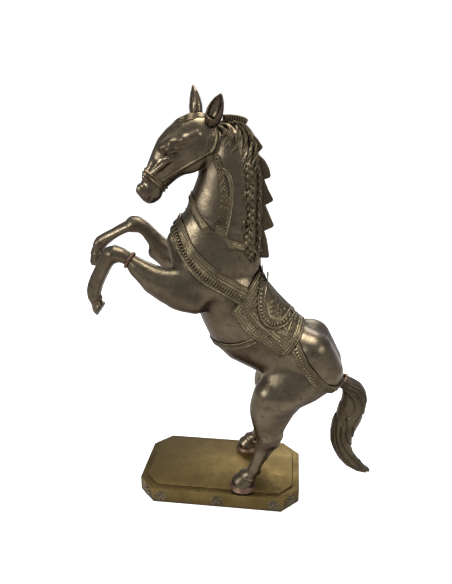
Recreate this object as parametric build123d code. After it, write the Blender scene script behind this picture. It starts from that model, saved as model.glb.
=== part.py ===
"""Rearing horse statuette on an octagonal plinth, built as separate brass castings and applied trim.

Millimetres. X runs from the horse's head (-X) to its tail (+X), Y from its near (left) side (-Y) to
its far (right) side (+Y), and Z is up. The origin is the centre of the plinth's underside. The horse
rears: its trunk slopes up towards the head, and only its two hind hooves stand on the plinth.
"""

import math
import os

from build123d import *

os.makedirs("parts", exist_ok=True)

# ---------------------------------------------------------------- driving sizes
OVERALL_HEIGHT = 512.0      # floor to the tip of the upright ear
PLINTH_LENGTH = 208.0
PLINTH_WIDTH = 122.0
PLINTH_HEIGHT = 19.0        # up to the ledge that surrounds the raised plate
CHAMFER_X = 22.0            # corner cut along the long side
CHAMFER_Y = 23.0            # corner cut along the short side
LEDGE_WIDTH = 9.0           # flat ledge between the plinth's edge and the raised plate
PLATE_STEP = 2.5            # the raised plate stands this much above the ledge
PLINTH_WALL = 4.0           # thickness of the hollow plinth casting
ROSETTE_WIDTH = 20.0        # trefoil florets on the plinth's sides
ROSETTE_DEPTH = 2.2
BODY_WALL = 5.0             # thickness of the hollow trunk casting
HEAD_TURN = 15.0            # degrees that the head looks towards the near side
TRIM_THICK = 2.0            # relief of straps, cloth and bands above the hide
SKIRT_THICK = 4.0           # relief of the saddle's skirts above the hide
SEAT_THICK = 5.0            # relief of the saddle's seat above the hide
MANE_THICK = 9.0
BRAZE_HEIGHT = 5.0
BRAZE_RADIUS = 17.0
EAR_LENGTH = 37.0
EAR_WIDTH = 20.0

HORSE_Z = PLINTH_HEIGHT + PLATE_STEP
DRAWN_HEIGHT = 490.5        # hoof to ear tip of the horse as drawn in the station lists below
FIGURE = (OVERALL_HEIGHT - HORSE_Z) / DRAWN_HEIGHT
POLL = (-4.0, 440.0)        # the head turns about a vertical line through this point
FAR_AWAY = 400.0

# ---------------------------------------------------------------- sections of the horse
# Each station is an ellipse whose long axis joins a front and a back point of the side view:
# front x, front z, back x, back z, centre y, half width. Heights count from the hooves up.
TRUNK = [
    (-62, 302, -50, 322, 0, 12),
    (-60, 291, -28, 325, 0, 27),
    (-48, 268, 8, 311, 0, 36),
    (-37, 240, 32, 290, 0, 41),
    (-25, 212, 45, 275, 0, 43),
    (-10, 183, 54, 259, 0, 44),
    (10, 164, 73, 238, 0, 44),
    (30, 154, 90, 222, 0, 43),
    (52, 142, 106, 210, 0, 41),
    (72, 131, 122, 198, 0, 39),
    (90, 123, 135, 184, 0, 36),
    (108, 119, 145, 167, 0, 31),
    (126, 119, 151, 151, 0, 22),
    (142, 127, 151, 142, 0, 9),
]
NECK_BASE = [
    (-55, 290, 42, 262, 0, 38),
    (-64, 312, 48, 276, 0, 38),
    (-56, 332, 47, 296, 0, 34),
    (-42, 349, 47, 317, 0, 31),
]
NECK = [
    (-42, 349, 47, 317, 0, 31),
    (-37, 362, 47, 339, 0, 28.5),
    (-31, 376, 47, 364, 0, 26.5),
    (-26, 389, 45, 390, 0, 25),
    (-20, 405, 39, 414, 0, 23),
    (-14, 420, 27, 436, 0, 18),
    (-8, 430, 8, 446, 0, 10),
]
HEAD = [
    (6, 444, 2, 408, 0, 17),
    (-13, 453, -8, 398, 0, 20),
    (-31, 454, -20, 394, 0, 21),
    (-48, 448, -31, 392, 0, 20.5),
    (-61, 438, -42, 388, 0, 18.5),
    (-71, 427, -50, 384, 0, 15.5),
    (-77, 415, -56, 379, 0, 13.5),
    (-83, 401, -61, 375, 0, 12),
    (-88, 388, -66, 370, 0, 12.5),
    (-94, 376, -71, 361, 0, 13.5),
    (-95, 366, -77, 357, 0, 11.5),
    (-90, 360, -83, 356, 0, 6),
]
NEAR_SHOULDER = [
    (8, 296, 12, 244, -30, 12),
    (-20, 291, -14, 236, -34, 17),
    (-48, 287, -42, 236, -37, 18.5),
    (-68, 287, -66, 245, -38, 16.5),
    (-82, 293, -84, 257, -38, 13.5),
    (-92, 298, -95, 272, -38, 11),
    (-97, 301, -106, 287, -38, 8.8),
]
NEAR_FORELEG = [
    (-97, 301, -106, 287, -38, 8.8),
    (-108, 308, -109, 289.5, -38, 9.3),
    (-119, 311, -114, 291, -38, 10.3),
    (-130, 306, -119, 289.5, -38, 10.2),
    (-137, 296, -123, 285.5, -38, 9),
    (-143, 286, -128, 279, -38, 8),
    (-149, 275, -133, 271.5, -38, 7.8),
    (-154, 264, -137, 262.5, -38, 8),
    (-156, 255, -138, 255.5, -38, 9),
    (-155, 247, -141, 248, -38, 8),
    (-152, 239, -138, 241.5, -38, 7.4),
    (-149, 229, -132, 238, -38, 8.5),
    (-131, 213.5, -125.5, 235, -38, 10.5),
]
FAR_SHOULDER = [
    (8, 296, 12, 244, 30, 12),
    (-20, 291, -14, 236, 34, 17),
    (-46, 291, -46, 240, 37, 18.5),
    (-66, 296, -76, 258, 38, 16.5),
    (-80, 305, -91, 280, 38, 13),
    (-90, 314.5, -100, 296, 38, 10.5),
    (-100, 324, -107, 306.5, 38, 10),
    (-110, 330.5, -113, 310, 38, 10.3),
    (-119, 328.5, -120, 310, 38, 9.3),
]
FAR_FORELEG = [
    (-119, 328.5, -120, 310, 38, 9.3),
    (-127, 324.5, -127, 309, 38, 8.3),
    (-136, 320, -134, 306, 38, 7.6),
    (-147, 313.5, -143, 300, 38, 7.5),
    (-158, 308, -152, 293, 38, 8),
    (-168, 302, -157, 288, 38, 8.8),
    (-173, 293, -160, 284, 38, 8),
    (-176, 281, -161, 277, 38, 8),
    (-176, 259, -157, 262, 38, 10),
]
THIGH = [
    (76, 180, 128, 168, 20, 16),
    (58, 157, 137, 146, 26, 22),
    (45, 137, 125, 127, 31, 23),
    (39, 119, 101, 117, 36, 20.5),
]
HIND_LEG = [
    (39, 119, 101, 117, 36, 20.5),
    (39, 106, 86, 109, 39, 17.5),
    (42, 94, 78, 97, 41, 15),
    (45, 83, 77, 85, 42, 12.8),
    (48, 75, 78, 76, 42, 11.8),
    (48, 67, 74, 66, 42, 10.8),
    (46, 56, 66, 58, 42, 9),
    (43.5, 44, 59.5, 47, 42, 8.1),
    (40.5, 33, 55, 36, 42, 8.1),
    (36.5, 24, 53, 24, 42, 9.2),
    (30, 15, 48, 13, 42.5, 9),
    (18, 0, 46, 0, 43, 12),
]
TAIL = [
    (147, 128.5, 150, 145.5, 0, 9),
    (152, 125.5, 163, 142.5, 0, 11),
    (153, 118.5, 180, 131.5, 0, 13),
    (152, 108.5, 184, 111.5, 0, 14),
    (147, 93.5, 183, 95.5, 0, 14),
    (142.5, 78.5, 179, 80.5, 0, 14),
    (141, 63.5, 173, 65.5, 0, 13),
    (142, 48.5, 170, 52.5, 0, 12),
    (147, 35.5, 170, 42.5, 0, 11),
    (154, 23.5, 173, 32.5, 0, 10),
    (164, 12.5, 180, 22.5, 0, 8),
    (178, 4.5, 190, 16.5, 0, 6),
    (190, 2.0, 200, 10.5, 0, 4),
]


# ---------------------------------------------------------------- outlines in the side view
# Straps are a path and a width; cloth and leather are closed outlines. All as x, height above hooves.
MANE_OUTLINE = [
    (0, 436), (2, 452.5), (16, 451), (28, 448.5), (30, 446), (24, 438), (36, 431), (47, 416), (41, 410),
    (51, 401), (57, 385), (51, 382), (57, 371), (60, 357), (52, 353), (58, 343), (62, 327), (52, 322),
    (55, 308), (57, 291), (45, 288), (43, 276), (30, 280), (30, 360), (26, 395), (15, 420),
]
COLLAR_PATH = [
    (-48, 375), (-35, 363), (-27, 346), (-14, 331), (-3, 322), (12, 316), (27, 310), (42, 305), (56, 302),
]
BREAST_PATH = [(-66, 345), (-50, 329), (-36, 306), (-16, 286), (10, 267), (31, 254)]
NECK_STRAP_PATH = [(0, 410), (1, 397), (5, 382), (8, 363), (8, 346), (4, 326)]
CHEEK_PATH = [(-9, 424), (-14, 413), (-20, 408), (-38, 399), (-52, 389), (-63, 381)]
HEADSTALL_PATH = [(-8, 462), (-11, 441), (-12, 421)]
NOSEBAND_PATH = [(-94, 404), (-84, 396), (-74, 384), (-64, 373), (-58, 364)]
FORELOCK_OUTLINE = [(-20, 462), (-34, 464), (-52, 458), (-60, 446), (-51, 440), (-36, 446), (-24, 446)]
CLOTH_OUTLINE = [
    (66, 300), (44, 271), (20, 237), (36, 216), (56, 198), (74, 184), (93, 204), (103, 222), (120, 235),
]
SKIRT_OUTLINE = [
    (46, 249), (47, 236), (54, 223), (65, 217), (78, 217), (88, 224), (80, 234), (66, 243), (56, 256),
]
SEAT_OUTLINE = [
    (48, 290), (52, 272), (57, 256), (67, 243), (79, 233), (91, 227), (103, 226), (120, 222), (100, 262),
]
GIRTH_PATH = [(48, 206), (36, 199), (20, 192), (2, 189), (-14, 188)]
CRUPPER_PATH = [(93, 192), (102, 175), (113, 161), (126, 147), (140, 140), (156, 134)]
COLLAR_WIDTH = 8.0
BREAST_WIDTH = 20.0
NECK_STRAP_WIDTH = 9.0
STRAP_WIDTH = 5.0
NOSEBAND_WIDTH = 7.0
GIRTH_WIDTH = 9.0
CRUPPER_WIDTH = 12.0

# Braids hang from behind each ear down the side of the neck; places are x and height above hooves.
BRAIDS = {
    "front": [
        (9, 436), (18, 424), (26, 408), (32, 392), (34.5, 374),
        (35, 356), (35, 338), (33, 322), (34, 306), (36, 291),
    ],
    "rear": [
        (18, 440), (29, 426), (37, 408), (42, 390), (44, 372),
        (44, 356), (43, 340), (43, 324), (43, 306), (41, 290),
    ],
}
BRAID_RADIUS = 4.6
BRAID_WAIST = 0.55          # a lock narrows to this share of its radius between plaits

# Ears: root (x, y, height) on the straight head, lean of the tip, and the way the hollow faces.
EARS = {
    "near_ear": ((-14, -13, 442), (9, -15, 28), (-0.55, -1, 0.25)),
    "far_ear": ((-26, 14, 447), (-3, 4, 36), (-1, -0.35, 0)),
}


# ---------------------------------------------------------------- solids from stations and outlines
def oval(middle, reach, across):
    """Closed smooth ring with two half axes."""
    points = []
    for i in range(12):
        turn = 2 * math.pi * i / 12
        points.append(middle + reach * math.cos(turn) + across * math.sin(turn))
    return Wire([Edge.make_spline(points, periodic=True)])


def stitch(rings):
    """Closed solid whose skin runs straight from each ring to the next."""
    skin = [Face(rings[0]), Face(rings[-1])]
    for lower, upper in zip(rings, rings[1:]):
        skin.append(Face.make_surface_from_curves(lower, upper))
    return Solid(Shell(skin))


def ring(station, side, grow):
    """Elliptical section at one station, larger all round by grow."""
    front_x, front_z, back_x, back_z, y, half_width = station
    front = Vector(front_x, side * y, front_z) * FIGURE
    back = Vector(back_x, side * y, back_z) * FIGURE
    middle = (front + back) * 0.5 + Vector(0, 0, HORSE_Z)
    long_dir = (back - front).normalized()
    half_depth = (back - front).length / 2 + grow
    half_wide = half_width * FIGURE + grow
    return oval(middle, long_dir * half_depth, Vector(0, half_wide, 0))


def limb(stations, side=1, grow=0.0):
    """Trunk, neck or leg through its stations, thicker all round by grow."""
    return stitch([ring(station, side, grow) for station in stations])


def figure_point(x, z):
    """Point of the side view, drawn in horse units, on the real model."""
    return (x * FIGURE, HORSE_Z + z * FIGURE)


def side_prism(outline, y_low=-FAR_AWAY, y_high=FAR_AWAY):
    """Prism through the horse, with an outline given in the side view."""
    corners = [Vector(x, y_low, z) for x, z in (figure_point(*corner) for corner in outline)]
    face = Face(Wire.make_polygon(corners, close=True))
    return Solid.extrude(face, Vector(0, y_high - y_low, 0))


def band(path, width):
    """Outline of a strip of even width along a path in the side view."""
    upper, lower = [], []
    for i, (x, z) in enumerate(path):
        before, after = path[max(i - 1, 0)], path[min(i + 1, len(path) - 1)]
        run = Vector(after[0] - before[0], after[1] - before[1]).normalized()
        upper.append((x - run.Y * width / 2, z + run.X * width / 2))
        lower.append((x + run.Y * width / 2, z - run.X * width / 2))
    return upper + lower[::-1]


def head_axis():
    """Upright line about which the head turns."""
    pivot_x, pivot_z = figure_point(*POLL)
    return Axis((pivot_x, 0, pivot_z), (0, 0, 1))


def turn_head(shape):
    """Turn a piece of the head towards the near side."""
    return shape.rotate(head_axis(), HEAD_TURN)


# ---------------------------------------------------------------- plinth
def octagon(inset, z):
    """Face of the plinth's plan, drawn in from its edge by inset."""
    half_x, half_y = PLINTH_LENGTH / 2 - inset, PLINTH_WIDTH / 2 - inset
    cut_x = CHAMFER_X - inset * 0.6
    cut_y = CHAMFER_Y - inset * 0.6
    quarter = [(half_x, half_y - cut_y), (half_x - cut_x, half_y)]
    corners = quarter + [(-x, y) for x, y in quarter[::-1]]
    corners += [(-x, -y) for x, y in corners[:4]]
    return Face(Wire.make_polygon([Vector(x, y, z) for x, y in corners], close=True))


def make_plinth():
    """Open-bottomed octagonal box with a raised plate on top."""
    block = Solid.extrude(octagon(0, 0), Vector(0, 0, PLINTH_HEIGHT))
    plate = Solid.extrude(octagon(LEDGE_WIDTH, PLINTH_HEIGHT), Vector(0, 0, PLATE_STEP))
    hollow = Solid.extrude(octagon(PLINTH_WALL, 0), Vector(0, 0, PLINTH_HEIGHT - PLINTH_WALL))
    return (block + plate) - hollow


def make_rosette(x, y, facing):
    """Trefoil floret flat on the plinth's side: an upper bud, two lower lobes and a centre boss."""
    lobe = ROSETTE_WIDTH / 4
    plane = Plane(
        origin=(x, y, PLINTH_HEIGHT / 2 - lobe / 3),
        x_dir=Vector(-facing[1], facing[0], 0),
        z_dir=Vector(*facing, 0),
    )
    bud = Pos(0, lobe * 1.1) * Circle(lobe * 0.8)
    lobes = [Pos(side * lobe * 1.05, -lobe * 0.35) * Circle(lobe * 0.95) for side in (-1, 1)]
    flower = Pos(0, 0) * Circle(lobe * 0.9) + [bud] + lobes
    return (plane * extrude(flower, ROSETTE_DEPTH)).solid()


def make_rosettes():
    """Three florets along each long side and one on each corner."""
    places = {}
    spacing = (PLINTH_LENGTH - 2 * CHAMFER_X) / 2 - ROSETTE_WIDTH / 2
    corner_x = PLINTH_LENGTH / 2 - CHAMFER_X / 2
    corner_y = PLINTH_WIDTH / 2 - CHAMFER_Y / 2
    slant = Vector(CHAMFER_Y, CHAMFER_X, 0).normalized()
    for side, label in ((-1, "near"), (1, "far")):
        for i, x in enumerate((-spacing, 0, spacing)):
            places[f"plinth_rosette_{label}_{i + 1}"] = (x, side * PLINTH_WIDTH / 2, (0, side))
        for end, word in ((-1, "head"), (1, "tail")):
            facing = (end * slant.X, side * slant.Y)
            places[f"plinth_rosette_{label}_{word}_corner"] = (end * corner_x, side * corner_y, facing)
    return {name: make_rosette(*place) for name, place in places.items()}


# ---------------------------------------------------------------- ears and braids
def spindle(base, tip, wide_dir, half_wide, half_thick, profile):
    """Leaf or lock along a line, its width at even steps given by profile."""
    base, tip = Vector(*base), Vector(*tip)
    along = (tip - base).normalized()
    across = (Vector(*wide_dir) - along * Vector(*wide_dir).dot(along)).normalized()
    through = along.cross(across)
    rings = []
    for i, share in enumerate(profile):
        middle = base + (tip - base) * (i / (len(profile) - 1))
        rings.append(oval(middle, across * (half_wide * share), through * (half_thick * share)))
    return stitch(rings)


def make_ear(base, lean, mouth):
    """Hollow pointed ear: base in the head's side view and y, lean of the tip, way the hollow faces."""
    x, z = figure_point(base[0], base[2])
    root = Vector(x, base[1] * FIGURE, z)
    tip = root + Vector(*lean).normalized() * EAR_LENGTH
    across = Vector(*lean).cross(Vector(*mouth)).normalized()
    leaf = [0.72, 0.95, 1.0, 0.86, 0.6, 0.12]
    outer = spindle(root, tip, across, EAR_WIDTH / 2, EAR_WIDTH * 0.36, leaf)
    open_dir = Vector(*mouth).normalized()
    lift = (tip - root) * 0.2
    shift = open_dir * EAR_WIDTH * 0.3
    scoop = spindle(root + lift + shift, tip + shift * 0.6, across, EAR_WIDTH * 0.34, EAR_WIDTH * 0.34, leaf)
    return outer - scoop


def neck_half_width(x, z):
    """Half width of the neck at a place of the side view, in horse units."""
    nearest = []
    for front_x, front_z, back_x, back_z, _, half_width in NECK_BASE + NECK:
        run = Vector(back_x - front_x, back_z - front_z)
        start = Vector(x - (front_x + back_x) / 2, z - (front_z + back_z) / 2)
        along = min(abs(start.dot(run)) / run.length / (run.length / 2), 0.98)
        off = abs(start.X * run.Y - start.Y * run.X) / run.length
        nearest.append((off, half_width * math.sqrt(1 - along ** 2)))
    nearest.sort()
    (off_a, wide_a), (off_b, wide_b) = nearest[:2]
    return (wide_a * off_b + wide_b * off_a) / (off_a + off_b)


def make_braid(path, side):
    """Plaited lock: a chain of almond shapes lying against the side of the neck."""
    rings = []
    shares = []
    places = []
    for (x0, z0), (x1, z1) in zip(path, path[1:]):
        for step in (0.0, 0.5):
            x, z = x0 + (x1 - x0) * step, z0 + (z1 - z0) * step
            places.append(Vector(x, side * neck_half_width(x, z), z) * FIGURE + Vector(0, 0, HORSE_Z))
            shares.append(1.0 if step else BRAID_WAIST)
    for i, (place, share) in enumerate(zip(places, shares)):
        run = (places[min(i + 1, len(places) - 1)] - places[max(i - 1, 0)]).normalized()
        across = run.cross(Vector(0, 1, 0)).normalized()
        through = run.cross(across)
        radius = BRAID_RADIUS * share
        rings.append(oval(place, across * (radius * 1.25), through * radius))
    return stitch(rings)


# ---------------------------------------------------------------- braze beads
def make_hoof_braze(side):
    """Fillet of braze that holds a hind hoof to the plate."""
    middle_x, _ = figure_point(32, 0)
    bead = Solid.make_cone(BRAZE_RADIUS, BRAZE_RADIUS * 0.75, BRAZE_HEIGHT, Plane(origin=(0, 0, HORSE_Z)))
    return bead.translate(Vector(middle_x, side * 43 * FIGURE, 0))


def biggest(shape):
    """Largest solid of a boolean result, without the slivers that curved covers leave."""
    return max(shape.solids(), key=lambda solid: solid.volume)


# ---------------------------------------------------------------- the statuette
def make_castings():
    """Trunk, neck, head, legs and tail, each cut where the castings are brazed together."""
    parts = {}
    core = limb(TRUNK[3:-1], grow=-BODY_WALL)
    trunk = limb(TRUNK).fuse(
        limb(NECK_BASE), limb(NEAR_SHOULDER), limb(FAR_SHOULDER), limb(THIGH, -1), limb(THIGH, 1)
    )
    parts["neck_casting"] = limb(NECK) - trunk
    parts["near_foreleg"] = limb(NEAR_FORELEG) - trunk
    parts["far_foreleg"] = limb(FAR_FORELEG) - trunk
    parts["near_hind_leg"] = limb(HIND_LEG, -1) - trunk
    parts["far_hind_leg"] = limb(HIND_LEG, 1) - trunk
    parts["tail"] = limb(TAIL) - trunk
    parts["head_casting"] = turn_head(limb(HEAD)) - parts["neck_casting"]
    parts["trunk_casting"] = trunk - core
    for name, shape in parts.items():
        parts[name] = biggest(shape)
    return parts, trunk


def boxes_meet(shape, other):
    """Whether two shapes' boxes overlap."""
    a, b = shape.bounding_box(), other.bounding_box()
    gaps = [(b.min.X - a.max.X, a.min.X - b.max.X), (b.min.Y - a.max.Y, a.min.Y - b.max.Y)]
    gaps.append((b.min.Z - a.max.Z, a.min.Z - b.max.Z))
    return max(max(pair) for pair in gaps) < 0


def clear_of(shape, others):
    """Main solid of a shape after every other one that it meets is cut away."""
    for other in others:
        if boxes_meet(shape, other):
            shape = biggest(shape - other)
    return shape


def cut_pieces(body, bare, outlines):
    """Cut pieces out of a grown body by side outlines and hollow them to the bare castings.

    Where outlines overlap, the earlier one wins. An outline without a name only keeps its area clear.
    """
    parts = {}
    earlier = []
    for name, (outline, reach) in outlines.items():
        prism = side_prism(outline, *reach)
        if not name.endswith("_area"):
            parts[name] = clear_of(biggest(body & prism), earlier + bare)
        earlier.append(prism)
    return parts


BOTH = (-FAR_AWAY, FAR_AWAY)
SIDES = {"near": (-FAR_AWAY, 0), "far": (0, FAR_AWAY)}


def make_saddle(trunk):
    """Seat and skirts, which stand higher than the cloth under them."""
    seat = {"saddle_seat": (SEAT_OUTLINE, BOTH)}
    skirts = {"seat_area": (SEAT_OUTLINE, BOTH)}
    for label, reach in SIDES.items():
        skirts[f"{label}_saddle_skirt"] = (SKIRT_OUTLINE, reach)
    parts = cut_pieces(limb(TRUNK, grow=SEAT_THICK), [trunk], seat)
    parts.update(cut_pieces(limb(TRUNK, grow=SKIRT_THICK), [trunk], skirts))
    return parts


def make_harness(trunk, neck, tail):
    """Cloth, bands and straps that stand proud of the hide by their own relief."""
    chest = [limb(rows, grow=TRIM_THICK) for rows in (NECK_BASE, NEAR_SHOULDER, FAR_SHOULDER)]
    front = limb(TRUNK, grow=TRIM_THICK).fuse(*chest)
    rear = limb(TRUNK, grow=TRIM_THICK).fuse(*(limb(THIGH, side, grow=TRIM_THICK) for side in (-1, 1)))
    saddle_areas = {"seat_area": (SEAT_OUTLINE, BOTH), "skirt_area": (SKIRT_OUTLINE, BOTH)}
    cloth = {**saddle_areas, "saddle_cloth": (CLOTH_OUTLINE, BOTH)}
    parts = cut_pieces(limb(TRUNK, grow=TRIM_THICK), [trunk], cloth)
    cloth_area = {**saddle_areas, "cloth_area": (CLOTH_OUTLINE, BOTH)}
    breast = {**cloth_area, "breast_band": (band(BREAST_PATH, BREAST_WIDTH), BOTH)}
    parts.update(cut_pieces(front, [trunk, neck], {**breast, "girth": (band(GIRTH_PATH, GIRTH_WIDTH), BOTH)}))
    crupper = {**cloth_area, "crupper_band": (band(CRUPPER_PATH, CRUPPER_WIDTH), BOTH)}
    parts.update(cut_pieces(rear, [trunk, tail], crupper))
    straps = {"neck_collar": (band(COLLAR_PATH, COLLAR_WIDTH), BOTH)}
    for label, reach in SIDES.items():
        straps[f"{label}_neck_strap"] = (band(NECK_STRAP_PATH, NECK_STRAP_WIDTH), reach)
    parts.update(cut_pieces(limb(NECK_BASE + NECK[1:], grow=TRIM_THICK), [neck, trunk], straps))
    return parts


def make_bridle(head, neck):
    """Bridle straps, shaped on the straight head and then turned with it."""
    bare = [limb(HEAD)]
    outlines = {
        "noseband": (band(NOSEBAND_PATH, NOSEBAND_WIDTH), BOTH),
        "headstall": (band(HEADSTALL_PATH, STRAP_WIDTH), BOTH),
        "forelock": (FORELOCK_OUTLINE, BOTH),
    }
    for label, reach in SIDES.items():
        outlines[f"{label}_cheek_strap"] = (band(CHEEK_PATH, STRAP_WIDTH), reach)
    parts = cut_pieces(limb(HEAD, grow=TRIM_THICK), bare, outlines)
    return {name: clear_of(turn_head(piece), [neck, head]) for name, piece in parts.items()}


def make_statuette():
    """Every piece of the statuette by name."""
    castings, trunk = make_castings()
    head, neck = castings["head_casting"], castings["neck_casting"]
    parts = {"plinth": make_plinth()}
    parts.update(make_rosettes())
    parts.update(castings)
    parts.update(make_saddle(trunk))
    parts.update(make_harness(trunk, neck, castings["tail"]))
    parts.update(make_bridle(head, neck))
    taken = [head, neck, parts["headstall"], parts["forelock"]]
    for name, (base, lean, mouth) in EARS.items():
        parts[name] = clear_of(turn_head(make_ear(base, lean, mouth)), taken)
        taken.append(parts[name])
    mane = side_prism(MANE_OUTLINE, -MANE_THICK / 2, MANE_THICK / 2)
    taken += [trunk, parts["neck_collar"]]
    parts["mane_crest"] = clear_of(mane, taken)
    taken.append(parts["mane_crest"])
    for side, label in ((-1, "near"), (1, "far")):
        taken.append(parts[f"{label}_neck_strap"])
        for place, path in BRAIDS.items():
            parts[f"{label}_{place}_braid"] = clear_of(make_braid(path, side), taken)
            taken.append(parts[f"{label}_{place}_braid"])
        leg = parts[f"{label}_hind_leg"]
        parts[f"{label}_hoof_braze"] = clear_of(make_hoof_braze(side), [leg])
    return parts


for node, solid in make_statuette().items():
    export_step(solid, f"parts/{node}.step")
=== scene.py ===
import math
import bmesh
import bpy
import numpy as np
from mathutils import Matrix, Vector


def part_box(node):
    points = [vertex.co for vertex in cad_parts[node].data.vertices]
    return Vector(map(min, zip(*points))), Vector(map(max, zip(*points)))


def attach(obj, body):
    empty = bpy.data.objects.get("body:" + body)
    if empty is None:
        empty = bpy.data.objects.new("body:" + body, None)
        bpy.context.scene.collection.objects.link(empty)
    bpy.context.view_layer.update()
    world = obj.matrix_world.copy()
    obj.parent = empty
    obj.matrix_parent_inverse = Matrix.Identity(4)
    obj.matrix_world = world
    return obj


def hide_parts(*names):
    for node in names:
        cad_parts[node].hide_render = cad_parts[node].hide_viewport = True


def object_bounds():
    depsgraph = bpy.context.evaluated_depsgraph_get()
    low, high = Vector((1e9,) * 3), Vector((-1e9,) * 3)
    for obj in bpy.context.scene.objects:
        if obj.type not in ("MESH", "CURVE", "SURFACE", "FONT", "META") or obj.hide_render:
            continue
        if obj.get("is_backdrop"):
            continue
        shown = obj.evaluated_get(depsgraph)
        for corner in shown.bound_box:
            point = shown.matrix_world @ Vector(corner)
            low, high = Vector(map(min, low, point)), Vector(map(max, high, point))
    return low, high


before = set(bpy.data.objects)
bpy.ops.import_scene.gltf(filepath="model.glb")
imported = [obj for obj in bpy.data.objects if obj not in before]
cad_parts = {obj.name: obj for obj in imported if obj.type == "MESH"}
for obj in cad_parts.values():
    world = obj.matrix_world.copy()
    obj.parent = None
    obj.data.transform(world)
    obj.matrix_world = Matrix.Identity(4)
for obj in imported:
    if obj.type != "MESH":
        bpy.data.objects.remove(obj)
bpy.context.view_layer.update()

import openvdb as vdb
from mathutils import Vector
from mathutils.bvhtree import BVHTree

# ---- Camera, floor and light -------------------------------------------------------------------
# A camera a little above the horse's back, looking down at its near side, over a pale floor that
# runs out of sight. Broad soft lamps above and to the sides; a dim cool surround for the reflections.
# Unit is one millimetre of the horse as it was measured, which is 483.8 mm from its hind hoofs to its far ear.
unit = (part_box("far_ear")[1][2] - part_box("near_hind_leg")[0][2]) / 483.8
camera_data = bpy.data.cameras.new("camera")
camera = bpy.data.objects.new("camera", camera_data)
bpy.context.collection.objects.link(camera)
camera.location = Vector((81.0, -618.8, 479.4)) * unit
look_yaw, look_down = math.radians(7.0), math.radians(18.7)
camera.rotation_euler = (math.pi / 2 - look_down, 0.0, look_yaw)
camera_data.sensor_fit = "VERTICAL"
camera_data.sensor_height = 36.0
camera_data.lens = 36.0 * 540.0 / 584.0
camera_data.clip_start = 0.01
bpy.context.scene.camera = camera

floor_size = 9.0
floor_mesh = bpy.data.meshes.new("floor")
floor_mesh.from_pydata(
    [(x * floor_size, y * floor_size, 0) for x, y in ((-1, -1), (1, -1), (1, 1), (-1, 1))], [], [(0, 1, 2, 3)])
floor = bpy.data.objects.new("floor", floor_mesh)
bpy.context.collection.objects.link(floor)
floor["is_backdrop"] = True
paper = bpy.data.materials.new("pale_floor")
paper.use_nodes = True
paper_nodes, paper_links = paper.node_tree.nodes, paper.node_tree.links
paper_nodes["Principled BSDF"].inputs["Base Color"].default_value = (0.80, 0.79, 0.78, 1)
paper_nodes["Principled BSDF"].inputs["Roughness"].default_value = 0.95
paper_nodes["Principled BSDF"].inputs["Specular IOR Level"].default_value = 0.0
paper_nodes["Principled BSDF"].inputs["Emission Color"].default_value = (1, 1, 1, 1)
direct_view = paper_nodes.new("ShaderNodeLightPath")
glow = paper_nodes.new("ShaderNodeMath")
glow.operation = "MULTIPLY"
glow.inputs[1].default_value = 1.0
paper_links.new(direct_view.outputs["Is Camera Ray"], glow.inputs[0])
paper_links.new(glow.outputs[0], paper_nodes["Principled BSDF"].inputs["Emission Strength"])
floor_mesh.materials.append(paper)


def soft_lamp(name, place, aim, size, power, color):
    lamp_data = bpy.data.lights.new(name, "AREA")
    lamp_data.shape = "DISK"
    lamp_data.size, lamp_data.energy, lamp_data.color = size, power, color
    lamp = bpy.data.objects.new(name, lamp_data)
    bpy.context.collection.objects.link(lamp)
    lamp.location = place
    lamp.rotation_euler = (Vector(aim) - Vector(place)).to_track_quat("-Z", "Y").to_euler()


soft_lamp("lamp_overhead", (0.05, 0.1, 1.5), (0, 0, 0.25), 0.75, 13.0, (1.0, 0.98, 0.94))
soft_lamp("lamp_head_side", (-1.1, -0.9, 0.95), (0, 0, 0.3), 0.5, 8.0, (0.97, 0.99, 1.0))
soft_lamp("lamp_tail_side", (1.3, -0.7, 1.0), (0, 0, 0.25), 0.5, 5.0, (1.0, 0.98, 0.95))
soft_lamp("lamp_back", (0.3, 1.5, 1.1), (0, 0, 0.3), 0.8, 7.0, (1.0, 0.99, 0.97))
world = bpy.data.worlds.new("studio")
bpy.context.scene.world = world
world.use_nodes = True
sky_nodes, sky_links = world.node_tree.nodes, world.node_tree.links
sky_nodes["Background"].inputs["Color"].default_value = (0.90, 0.93, 1.0, 1)
sky_nodes["Background"].inputs["Strength"].default_value = 0.34
backdrop = sky_nodes.new("ShaderNodeBackground")
backdrop.inputs["Color"].default_value = (1, 1, 1, 1)
backdrop.inputs["Strength"].default_value = 1.0
sky_view, sky_mix = sky_nodes.new("ShaderNodeLightPath"), sky_nodes.new("ShaderNodeMixShader")
sky_links.new(sky_view.outputs["Is Camera Ray"], sky_mix.inputs[0])
sky_links.new(sky_nodes["Background"].outputs[0], sky_mix.inputs[1])
sky_links.new(backdrop.outputs[0], sky_mix.inputs[2])
sky_links.new(sky_mix.outputs[0], sky_nodes["World Output"].inputs["Surface"])
bpy.context.scene.view_settings.view_transform = "Standard"

# ---- Horse's castings --------------------------------------------------------------------------
# Trunk, neck, head, legs: thick-walled sand castings in old brass, filed smooth, brazed end to end.
# They are modelled as one clay and then parted along the seams, so the hide runs on across them.


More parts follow.
